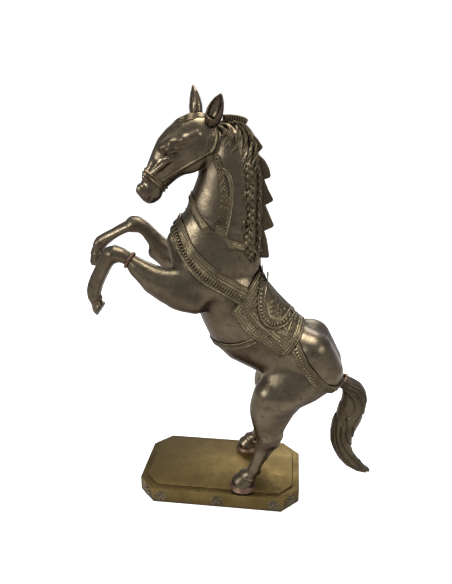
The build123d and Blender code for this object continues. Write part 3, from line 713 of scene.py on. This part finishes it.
comb = node_clay("mane_crest", 0.5 * coarse * unit, 0.002)
x, y, z = side_view(comb)
comb_outline = [
    (0, 436), (2, 452.5), (10, 452.6), (18, 451.8), (26, 449.8), (29.6, 447), (28, 443.5), (24.5, 440), (32, 435),
    (40, 427.5), (46.3, 418.6), (45.6, 416.4), (41, 411.5), (49.3, 403.5), (54, 394.8), (55.9, 387.2), (54.8, 384.8),
    (48.6, 382.8), (53.4, 371.6), (59.4, 360.8), (58.8, 358.4), (50.6, 354), (55.6, 343), (61.1, 331), (60, 328.4),
    (49.8, 324), (53, 315), (55.2, 303.7), (56.6, 293.4), (54.8, 291.4), (46, 292), (42, 284), (34, 282),
    (30, 300), (30, 360), (26, 395), (15, 420)]
nape = smooth_path([(8, 450), (24, 436), (36, 416), (43, 392), (45, 366), (45, 340), (44, 312), (42, 284)])
s, c = along(x, z, nape)
reach = np.clip(c / 16.0, 0, 1)
furrow = np.cos(2 * math.pi * (s + 0.85 * c - 0.012 * c * c) / 3.3) + 0.5 * np.cos(2 * math.pi * (s + 0.7 * c) / 1.9)
half = 4.4 - 2.7 * reach + 0.3 * furrow
field = -soft_union(-outline_field(x, z, comb_outline), half - np.abs(y), 1.4) * unit
finish_piece(comb.skin("mane_comb", field.astype(np.float32)), "mane_comb", hair_metal, "hair_brass", "mane_crest")


def new_tree(name, **inputs):
    """Empty geometry tree with named inputs of the given kinds; _ in a name stands for a space."""
    tree = bpy.data.node_groups.new(name, "GeometryNodeTree")
    for label, kind in inputs.items():
        tree.interface.new_socket(label.replace("_", " "), in_out="INPUT", socket_type="NodeSocket" + kind)
    tree.interface.new_socket("Geometry", in_out="OUTPUT", socket_type="NodeSocketGeometry")
    return tree


def lock_tree():
    """Twisted, grooved lock along each run of edges, as thick as its points say."""
    tree = new_tree("hair_lock", Geometry="Geometry", Thickness="Float", Twist="Float", Ridges="Int",
                    Groove="Float", Metal="Material")
    nodes, links = tree.nodes, tree.links
    given, result = nodes.new("NodeGroupInput"), nodes.new("NodeGroupOutput")
    curves = nodes.new("GeometryNodeMeshToCurve")
    links.new(given.outputs["Geometry"], curves.inputs["Mesh"])
    girth = nodes.new("GeometryNodeInputNamedAttribute")
    girth.inputs["Name"].default_value = "girth"
    thick = nodes.new("ShaderNodeMath")
    thick.operation = "MULTIPLY"
    links.new(girth.outputs["Attribute"], thick.inputs[0])
    links.new(given.outputs["Thickness"], thick.inputs[1])
    place = nodes.new("GeometryNodeSplineParameter")
    turn = nodes.new("ShaderNodeMath")
    turn.operation = "MULTIPLY"
    links.new(place.outputs["Length"], turn.inputs[0])
    links.new(given.outputs["Twist"], turn.inputs[1])
    tilted = nodes.new("GeometryNodeSetCurveTilt")
    links.new(curves.outputs["Curve"], tilted.inputs["Curve"])
    links.new(turn.outputs[0], tilted.inputs["Tilt"])
    section = nodes.new("GeometryNodeCurveStar")
    section.inputs["Outer Radius"].default_value = 1.0
    links.new(given.outputs["Ridges"], section.inputs["Points"])
    links.new(given.outputs["Groove"], section.inputs["Inner Radius"])
    tube = nodes.new("GeometryNodeCurveToMesh")
    tube.inputs["Fill Caps"].default_value = True
    links.new(tilted.outputs["Curve"], tube.inputs["Curve"])
    links.new(section.outputs["Curve"], tube.inputs["Profile Curve"])
    links.new(thick.outputs[0], tube.inputs["Scale"])
    real = nodes.new("GeometryNodeRealizeInstances")
    metal = nodes.new("GeometryNodeSetMaterial")
    links.new(tube.outputs["Mesh"], real.inputs["Geometry"])
    links.new(real.outputs["Geometry"], metal.inputs["Geometry"])
    links.new(given.outputs["Metal"], metal.inputs["Material"])
    links.new(metal.outputs["Geometry"], result.inputs["Geometry"])
    return tree


def grown(tree, name, guide_mesh, settings):
    """Plain mesh made by a tree from a guide mesh."""
    guide = bpy.data.objects.new(name + "_guide", guide_mesh)
    bpy.context.collection.objects.link(guide)
    modifier = guide.modifiers.new("grow", "NODES")
    modifier.node_group = tree
    for item in tree.interface.items_tree:
        if item.in_out == "INPUT" and item.name in settings:
            modifier[item.identifier] = settings[item.name]
    guide.update_tag()
    bpy.context.view_layer.update()
    ready = guide.evaluated_get(bpy.context.evaluated_depsgraph_get())
    mesh = bpy.data.meshes.new_from_object(ready)
    guide.modifiers.remove(modifier)
    bpy.data.objects.remove(guide)
    mesh.name = name
    soup = bmesh.new()
    soup.from_mesh(mesh)
    bmesh.ops.recalc_face_normals(soup, faces=soup.faces)
    soup.to_mesh(mesh)
    soup.free()
    return mesh


lock_maker = lock_tree()


def locks_mesh(name, locks, ridges=7, twist=60.0):
    """One mesh of many locks, each a list of places and a girth for each place."""
    points, edges, girths = [], [], []
    for places, girth in locks:
        start = len(points)
        points.extend(tuple(p) for p in places)
        girths.extend(girth)
        edges.extend((start + i, start + i + 1) for i in range(len(places) - 1))
    guide = bpy.data.meshes.new(name + "_guide")
    guide.from_pydata(points, edges, [])
    kept = guide.attributes.new("girth", "FLOAT", "POINT")
    kept.data.foreach_set("value", np.array(girths, np.float32))
    settings = {"Thickness": unit, "Twist": twist, "Ridges": ridges, "Groove": 0.8, "Metal": hair_metal}
    return grown(lock_maker, name, guide, settings)


neck_skin = BVHTree.FromObject(bpy.data.objects["horse_neck"], bpy.context.evaluated_depsgraph_get())
chest_skin = BVHTree.FromObject(bpy.data.objects["horse_trunk"], bpy.context.evaluated_depsgraph_get())
head_skin = BVHTree.FromObject(bpy.data.objects["horse_head"], bpy.context.evaluated_depsgraph_get())


def on_hide(x, z, side, lift):
    """Place over the hide at a side-view place, lifted in horse millimetres."""
    start, aim = Vector(spot(x, 90 * side, z + hoof_z)), Vector((0, -side, 0))
    stands = [abs(hit[0].y) for hit in (tree.ray_cast(start, aim) for tree in (neck_skin, chest_skin)) if hit[0]]
    return max(stands, default=6 * unit) / unit + lift


def hide_along(path, side, lift, half_window):
    """Stand-off of the hide along a path, averaged over a window so that hair bridges the hollows."""
    padded = np.pad([on_hide(x, z, side, lift) for x, z in path], half_window, mode="edge")
    return np.array([padded[i:i + 2 * half_window + 1].mean() for i in range(len(path))])


def lay_lock(corners, side, thick, lift):
    """Lock that swells and thins along a rounded side-view path on the hide."""
    path = smooth_path(corners, 1.6)
    stand = hide_along(path, side, lift, 4)
    t = np.linspace(0, 1, len(path))
    girth = thick * (0.12 + 0.88 * np.sin(math.pi * np.clip(t * 0.93 + 0.05, 0, 1)) ** 0.7)
    return [spot(x, side * y, z + hoof_z) for (x, z), y in zip(path, stand)], girth


def plait(corners, side, pitch, swing, thick):
    """Three locks woven over one another along a path on the hide."""
    path = smooth_path(corners, 1.2)
    stand = hide_along(path, side, 1.2, 6)
    run = np.gradient(path, axis=0)
    run /= np.linalg.norm(run, axis=1)[:, None]
    s = np.concatenate([[0], np.cumsum(np.linalg.norm(np.diff(path, axis=0), axis=1))])
    close = np.clip((s[-1] - s) / 9.0, 0.25, 1) * np.clip((s + 4) / 8, 0.4, 1)
    out = []
    for k in range(3):
        phase = 2 * math.pi * (s / pitch + k / 3)
        off = swing * close * np.sin(phase)
        y = stand + 0.45 * swing * close * np.sin(2 * phase)
        places = [spot(px - off_i * rz, side * y_i, pz + off_i * rx + hoof_z)
                  for (px, pz), (rx, rz), off_i, y_i in zip(path, run, off, y)]
        out.append((places, thick * close * (1 + 0.22 * np.cos(2 * phase))))
    return out


front_plait = [(30, 402), (34, 389), (34.6, 372), (34.8, 356.6), (36, 341), (33.5, 325), (34, 306), (38, 291)]
rear_plait = [(38, 408), (43, 390), (44, 372), (44, 356.8), (43, 341), (44, 324), (43, 306), (40.5, 290)]
waves = [
    ([(-4, 440), (2, 438.5), (5.5, 433), (2, 429)], 2.4, 0.8),
    ([(2, 443), (9, 440), (13, 434), (14, 427), (11, 420)], 2.4, 0.6),
    ([(8, 445), (16, 441), (20.5, 433), (21, 424), (18, 415)], 2.6, 0.6),
    ([(14, 446), (22, 440), (27, 430), (27.5, 418), (24, 407)], 2.8, 0.8),
    ([(20, 445), (28, 438), (33, 427), (33, 414), (29, 402), (27, 395)], 2.8, 0.9),
    ([(25, 442), (33, 432), (38, 419), (37, 405), (33, 394), (31, 386)], 2.6, 1.0),
    ([(9, 436), (12, 430), (11, 424), (7, 419)], 1.8, 0.4),
    ([(16, 434), (19, 426), (17, 418), (13, 411)], 1.9, 0.3),
    ([(33, 424), (39, 413), (41, 402), (38, 392), (40, 383)], 2.2, 1.2),
    ([(40, 398), (45, 386), (44, 374), (47, 362)], 1.9, 1.4),
    ([(44, 362), (47, 350), (45, 338), (48, 326)], 1.8, 1.4),
    ([(43, 334), (46, 322), (44, 310), (46, 298)], 1.8, 1.4),
    ([(30, 372), (29, 362), (32, 352)], 2.2, 0.4),
    ([(29, 340), (28, 331), (31, 321)], 2.2, 0.4),
    ([(31, 318), (30, 308), (33, 297)], 1.9, 0.6)]
for side, label in ((-1, "near"), (1, "far")):
    for place, locks in (("front", plait(front_plait, side, 25, 3.0, 2.7)),
                         ("rear", plait(rear_plait, side, 27, 1.9, 2.0))):
        finish_piece(locks_mesh(f"{label}_{place}_plait", locks), f"{label}_{place}_plait", hair_metal, "hair_brass",
                     f"{label}_{place}_braid")
    laid = [lay_lock(corners, side, thick, lift) for corners, thick, lift in waves]
    finish_piece(locks_mesh(f"{label}_neck_locks", laid), f"{label}_neck_locks", hair_metal, "hair_brass")

forelock = []
for k in range(9):
    y = -14.5 + 3.4 * k
    bend = 2.0 * math.sin(2.1 * k)
    rough = [(-14, 0.45 * y, 468), (-26, 0.75 * y, 474), (-36, y, 474), (-45, y + bend, 469),
             (-53 - 1.4 * (k % 3), y, 460 - 3 * (k % 2))]
    path = [Vector(on_head(*np.array(p))) for p in rough]
    fine_path = []
    for i in range(28):
        t = i / 27 * (len(path) - 1)
        j = min(int(t), len(path) - 2)
        guess = path[j].lerp(path[j + 1], t - j)
        hit, normal, _, _ = head_skin.find_nearest(guess)
        fine_path.append(np.array(hit + normal * 0.7 * unit))
    t = np.linspace(0, 1, 28)
    forelock.append((fine_path, 2.3 * (0.15 + 0.85 * np.sin(math.pi * np.clip(0.1 + 0.88 * t, 0, 1)) ** 0.8)))
finish_piece(locks_mesh("forelock_locks", forelock, 6, 90.0), "forelock_locks", hair_metal, "hair_brass", "forelock")

# ---- Ears ----------------------------------------------------------------------------------------
# Pricked leaf-shaped ears with a hollow, cast apart and brazed to the poll.
for node in ("near_ear", "far_ear"):
    ear = node_clay(node, 0.42 * coarse * unit, 0.003)
    ear.add_mesh(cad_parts[node])
    ear.blur(0.55 * unit)
    finish_piece(ear.skin(node + "_leaf"), node + "_leaf", hide_metal, "hide_brass", node)

# ---- Tail ----------------------------------------------------------------------------------------
# Solid cast tail, swept out and down to an upturned tip; three notches cut its back edge into locks
# and long furrows run down it. Brazed under the croup with a lumpy bead.
tail = node_clay("tail", 0.62 * coarse * unit, 0.003)
tail.add_mesh(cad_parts["tail"])
tail.blur(1.2 * unit)
x, y, z = side_view(tail)
tail_outline = [
    (140, 150), (153.8, 141), (164, 137), (174.2, 131.5), (182, 123), (187.5, 114.7), (186.6, 110.5), (183.2, 107),
    (186, 96), (187.2, 83.9), (186, 77), (177.4, 70.2), (181, 59.5), (184.8, 48.6), (183.4, 45), (173, 39.9),
    (179, 31), (184.6, 21.7), (184.2, 15.5), (194, 8.5), (203.8, 1.4), (204, -4), (140, -4)]
furrows = [
    [(150, 126), (160, 121), (167, 110), (166, 97), (158, 86), (153, 74)],
    [(154, 131), (167, 125), (176, 112), (177, 98), (171, 84), (168, 74)],
    [(161, 133), (173, 127), (181, 116), (180, 104)],
    [(148, 104), (147, 84), (147, 62), (152, 42), (163, 24), (178, 11), (196, 4)],
    [(153, 74), (153, 60), (158, 46), (166, 34), (174, 24), (184, 13)],
    [(158, 92), (160, 76), (160, 62), (166, 48), (172, 40)],
    [(168, 74), (168, 60), (172, 52)],
    [(178, 96), (182, 86), (181, 77)],
    [(144, 66), (145, 50), (151, 34), (162, 18), (176, 8)]]
field = -soft_union(-tail.field / unit, -outline_field(x, z, tail_outline), 1.2)
for corners in furrows:
    _, c = along(x, z, smooth_path(corners, 2.0))
    field = field + rail(c, 0, 0.85, 1.15) - rail(c, 2.4, 1.5, 0.5)
tail_mesh = tail.skin("tail_locks", (field * unit).astype(np.float32))
finish_piece(tail_mesh, "tail_locks", hair_metal, "hair_brass", "tail")

# ---- Plinth --------------------------------------------------------------------------------------
# Hollow cut-cornered box in olive brass with a raised plate; cast, filed flat, edges worn round.
plinth_metal = old_brass("old_brass_plinth", (0.235, 0.165, 0.06, 1), (0.10, 0.062, 0.026, 1), 0.38, 1.6)
shape = bmesh.new()
shape.from_mesh(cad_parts["plinth"].data)
bmesh.ops.remove_doubles(shape, verts=shape.verts, dist=1e-6)
bmesh.ops.dissolve_limit(shape, angle_limit=math.radians(1.5), verts=shape.verts, edges=shape.edges)
worn = [e for e in shape.edges if len(e.link_faces) == 2 and e.calc_face_angle(0) > math.radians(20)]
bmesh.ops.bevel(shape, geom=worn, offset=0.8 * unit, segments=3, profile=0.5, affect="EDGES", clamp_overlap=True)
bmesh.ops.triangulate(shape, faces=shape.faces)
bmesh.ops.recalc_face_normals(shape, faces=shape.faces)
box_mesh = bpy.data.meshes.new("plinth_box")
shape.to_mesh(box_mesh)
shape.free()
finish_piece(box_mesh, "plinth_box", plinth_metal, "plinth_brass", "plinth")


def floret_tree():
    """Trefoil: three lobes of fanned petals round a boss, lying in the x-y plane."""
    tree = new_tree("floret", Petals="Int", Petal_Size="Vector", Lobes="Int", Spread="Float", Boss="Vector",
                    Metal="Material")
    nodes, links = tree.nodes, tree.links
    given, result = nodes.new("NodeGroupInput"), nodes.new("NodeGroupOutput")

    def math_node(kind, *values):
        node = nodes.new("ShaderNodeMath")
        node.operation = kind
        for socket, value in zip(node.inputs, values):
            if isinstance(value, bpy.types.NodeSocket):
                links.new(value, socket)
            else:
                socket.default_value = value
        return node.outputs[0]

    def ball(size):
        sphere = nodes.new("GeometryNodeMeshUVSphere")
        sphere.inputs["Segments"].default_value, sphere.inputs["Rings"].default_value = 14, 9
        sphere.inputs["Radius"].default_value = 1.0
        shaped = nodes.new("GeometryNodeTransform")
        links.new(sphere.outputs["Mesh"], shaped.inputs["Geometry"])
        links.new(size, shaped.inputs["Scale"])
        return shaped.outputs["Geometry"]

    def ring_of(count, item, reach, angle):
        dots, index = nodes.new("GeometryNodePoints"), nodes.new("GeometryNodeInputIndex")
        links.new(count, dots.inputs["Count"])
        turn = angle(index.outputs["Index"])
        where, spin = nodes.new("ShaderNodeCombineXYZ"), nodes.new("ShaderNodeCombineXYZ")
        links.new(math_node("MULTIPLY", math_node("COSINE", turn), reach), where.inputs["X"])
        links.new(math_node("MULTIPLY", math_node("SINE", turn), reach), where.inputs["Y"])
        links.new(where.outputs[0], dots.inputs["Position"])
        links.new(turn, spin.inputs["Z"])
        copies = nodes.new("GeometryNodeInstanceOnPoints")
        links.new(dots.outputs[0], copies.inputs["Points"])
        links.new(item, copies.inputs["Instance"])
        links.new(spin.outputs[0], copies.inputs["Rotation"])
        return copies.outputs["Instances"]

    petal_size = nodes.new("ShaderNodeSeparateXYZ")
    links.new(given.outputs["Petal Size"], petal_size.inputs["Vector"])
    lobe = ring_of(given.outputs["Petals"], ball(given.outputs["Petal Size"]), petal_size.outputs["X"],
                   lambda i: math_node("MULTIPLY", math_node("SUBTRACT", i, math_node("MULTIPLY", math_node(
                       "SUBTRACT", given.outputs["Petals"], 1.0), 0.5)), 0.62))
    flower = ring_of(given.outputs["Lobes"], lobe, given.outputs["Spread"],
                     lambda i: math_node("ADD", math_node("MULTIPLY", i, math_node(
                         "DIVIDE", 2 * math.pi, given.outputs["Lobes"])), math.pi / 2))
    joined, real, metal = (nodes.new(kind) for kind in (
        "GeometryNodeJoinGeometry", "GeometryNodeRealizeInstances", "GeometryNodeSetMaterial"))
    for part in (flower, ball(given.outputs["Boss"])):
        links.new(part, joined.inputs["Geometry"])
    links.new(joined.outputs["Geometry"], real.inputs["Geometry"])
    links.new(real.outputs["Geometry"], metal.inputs["Geometry"])
    links.new(given.outputs["Metal"], metal.inputs["Material"])
    links.new(metal.outputs["Geometry"], result.inputs["Geometry"])
    return tree


floret = grown(floret_tree(), "floret", bpy.data.meshes.new("floret_seed"), {
    "Petals": 5, "Petal Size": (3.7 * unit, 1.35 * unit, 2.0 * unit), "Lobes": 3, "Spread": 2.0 * unit,
    "Boss": (2.4 * unit, 2.4 * unit, 2.3 * unit), "Metal": harness_metal})
for node in [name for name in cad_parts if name.startswith("plinth_rosette")]:
    low, high = (Vector(corner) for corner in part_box(node))
    middle = (low + high) / 2
    facing = Vector((0, math.copysign(1, middle.y), 0))
    if "corner" in node:
        facing = Vector((math.copysign(high.y - low.y, middle.x), math.copysign(high.x - low.x, middle.y), 0))
        facing.normalize()
    up = Vector((0, 0, 1))
    across = up.cross(facing)
    root = middle - facing * (1.1 if "corner" not in node else 1.0) * unit
    one = floret.copy()
    turned = [root + across * v.co.x + up * v.co.y + facing * v.co.z for v in floret.vertices]
    one.vertices.foreach_set("co", [k for p in turned for k in p])
    finish_piece(one, node + "_petals", harness_metal, "plinth_brass", node)

# ---- Braze ---------------------------------------------------------------------------------------
# Rough golden braze that holds the hoofs to the plate, and the pinkish beads at the foreleg seams and
# the tail's root: puddled filler, left unfiled.
braze_metal = old_brass("braze_filler", (0.30, 0.19, 0.13, 1), (0.11, 0.06, 0.04, 1), 0.42, 2.0)
rough = np.random.default_rng(7)
for node in ("near_hoof_braze", "far_hoof_braze"):
    low, high = (np.array(corner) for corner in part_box(node))
    puddle = node_clay(node, 0.6 * coarse * unit, 0.003)
    puddle.add_mesh(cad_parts[node])
    middle, reach = (low + high) / 2, (high - low) / 2
    for k in range(26):
        turn, out = rough.uniform(0, 2 * math.pi), rough.uniform(0.72, 0.9)
        lump = middle + reach * [out * math.cos(turn), out * math.sin(turn), -0.75]
        puddle.stroke(lump, lump + [0, 0, 0.4 * unit], rough.uniform(1.0, 2.0) * unit, 1.2 * unit, 1.5 * unit)
    puddle.field = np.maximum(puddle.field, low[2] - puddle.grid()[2].astype(np.float32))
    finish_piece(puddle.skin(node + "_puddle"), node + "_puddle", braze_metal, "braze", node)

for name, middle, run, ring_size, lump_size in (
        ("foreleg_seam_near", (-101.5, -38, 315.5), (0.84, 0, -0.54), 9.4, 1.7),
        ("foreleg_seam_far", (-119.5, 38, 340.8), (1, 0, -0.05), 9.0, 1.3),
        ("tail_root_bead", (151, 0, 157.5), (0.75, 0, -0.66), 8.6, 1.8)):
    middle, run = spot(*middle), np.array(run) / np.linalg.norm(run)
    up = np.cross(run, [0, 1.0, 0])
    bead = Clay(middle - 16 * unit, middle + 16 * unit, 0.45 * coarse * unit)
    for k in range(22):
        turn = 2 * math.pi * (k + rough.uniform(-0.3, 0.3)) / 22
        lump = middle + ring_size * unit * (math.cos(turn) * up + math.sin(turn) * np.array([0, 1.0, 0]))
        size = lump_size * rough.uniform(0.75, 1.15) * unit
        bead.stroke(lump, lump + run * rough.uniform(-1, 1) * unit, size, size, 1.2 * unit)
    finish_piece(bead.skin(name), name, braze_metal, "braze")

low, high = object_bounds()
